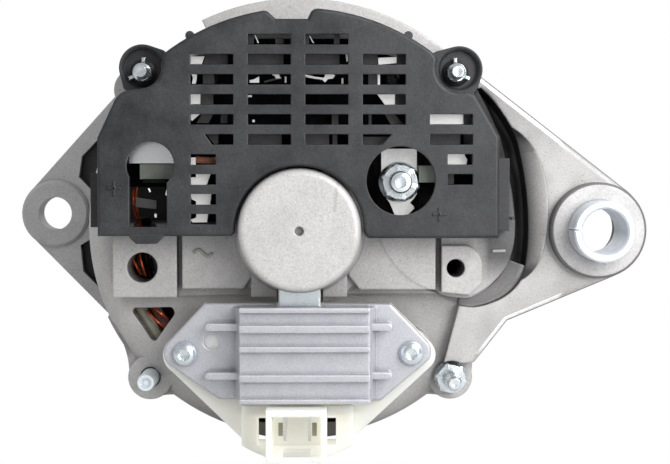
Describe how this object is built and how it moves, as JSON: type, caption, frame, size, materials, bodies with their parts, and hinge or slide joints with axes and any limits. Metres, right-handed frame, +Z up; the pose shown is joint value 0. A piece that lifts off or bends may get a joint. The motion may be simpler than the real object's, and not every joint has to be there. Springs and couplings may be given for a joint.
{
  "type": "alternator",
  "caption": "Vehicle alternator with a ribbed regulator, slotted rear cover, offset pivot arm with split bush, cast vented housings, V pulley and external fan.",
  "frame": {"origin": "on the rotor axis, in the middle plane of the pulley's belt groove", "axes": "+Y along the rotor axis towards the pulley end, +X to the right and +Z up for someone looking at the rear, so the rear faces -Y"},
  "size_m": [0.1849, 0.163, 0.1259],
  "materials": {
    "cast_aluminium": "sand-cast, lightly blasted, machined pads",
    "regulator_aluminium": "die-cast, slightly blue grey",
    "plate_aluminium": "rolled plate",
    "turned_steel": "turned",
    "bearing_steel": "ground",
    "zinc_steel": "bright zinc plated",
    "core_steel": "stacked laminations",
    "pole_iron": "forged iron, dark",
    "spring_steel": "bright wire",
    "plated_metal": "tin plated",
    "copper_enamel": "enamelled copper wire, dark red",
    "ring_copper": "turned copper",
    "brush_carbon": "pressed carbon",
    "black_plastic": "fine matt grain",
    "board_plastic": "pale grey-green moulding",
    "bobbin_plastic": "moulded",
    "cream_plastic": "cream moulding"
  },
  "bodies": {
    "rotor": {"rotor_shaft": "turned_steel", "claw_pole_front": "pole_iron", "claw_pole_rear": "pole_iron", "coil_bobbin": "bobbin_plastic", "field_coil": "copper_enamel", "slip_ring_hub": "black_plastic", "slip_ring_inner": "ring_copper", "slip_ring_outer": "ring_copper", "front_bearing_inner": "bearing_steel", "rear_bearing_inner": "bearing_steel", "pulley": "zinc_steel", "fan_spacer": "turned_steel", "shaft_key": "turned_steel", "spring_washer": "zinc_steel", "pulley_nut": "zinc_steel", "fan": "zinc_steel"},
    "housing": {"front_bearing_outer": "bearing_steel", "rear_bearing_outer": "bearing_steel", "stator_core": "core_steel", "stator_winding": "copper_enamel", "front_housing": "cast_aluminium", "bearing_retainer": "zinc_steel", "retainer_screws": "zinc_steel", "rear_housing": "cast_aluminium", "pivot_bush": "zinc_steel", "positive_plate": "plate_aluminium", "negative_plate": "plate_aluminium", "positive_diodes": "plated_metal", "negative_diodes": "plated_metal", "plate_insulators": "black_plastic", "rectifier_screws": "zinc_steel", "exciter_board": "board_plastic", "exciter_diodes": "black_plastic", "output_stud": "zinc_steel", "output_strip": "plate_aluminium", "output_nut": "zinc_steel", "exciter_blade": "plated_metal", "rear_cover": "black_plastic", "through_bolts": "zinc_steel", "cover_clips": "zinc_steel", "earth_nut": "zinc_steel", "regulator_heatsink": "regulator_aluminium", "regulator_screws": "zinc_steel", "brush_holder": "cream_plastic", "connector_blades": "plated_metal", "brush_spring_inner": "spring_steel", "brush_spring_outer": "spring_steel", "brush_shield": "zinc_steel"},
    "front_balls": {"front_bearing_balls": "bearing_steel"},
    "rear_balls": {"rear_bearing_balls": "bearing_steel"},
    "brush_inner_carrier": {"brush_inner": "brush_carbon"},
    "brush_outer_carrier": {"brush_outer": "brush_carbon"}
  },
  "joints": [
    {"name": "rotor_spin", "type": "hinge", "parent": "housing", "child": "rotor", "pos_m": [0, 0, 0], "axis": [0, 1, 0], "continuous": true},
    {"name": "front_balls_spin", "type": "hinge", "parent": "housing", "child": "front_balls", "pos_m": [0, -0.038, 0], "axis": [0, 1, 0], "continuous": true},
    {"name": "rear_balls_spin", "type": "hinge", "parent": "housing", "child": "rear_balls", "pos_m": [0, -0.1025, 0], "axis": [0, 1, 0], "continuous": true},
    {"name": "brush_inner_slide", "type": "slide", "parent": "housing", "child": "brush_inner_carrier", "axis": [0, 0, -1], "range_m": [0, 0.004], "stiffness_N_per_m": 120, "springref_m": -0.012, "deforming": ["brush_spring_inner"]},
    {"name": "brush_outer_slide", "type": "slide", "parent": "housing", "child": "brush_outer_carrier", "axis": [0, 0, -1], "range_m": [0, 0.004], "stiffness_N_per_m": 120, "springref_m": -0.012, "deforming": ["brush_spring_outer"]}
  ],
  "couplings": [
    {"joint": "front_balls_spin", "follows": "rotor_spin", "ratio": 0.38},
    {"joint": "rear_balls_spin", "follows": "rotor_spin", "ratio": 0.38}
  ]
}
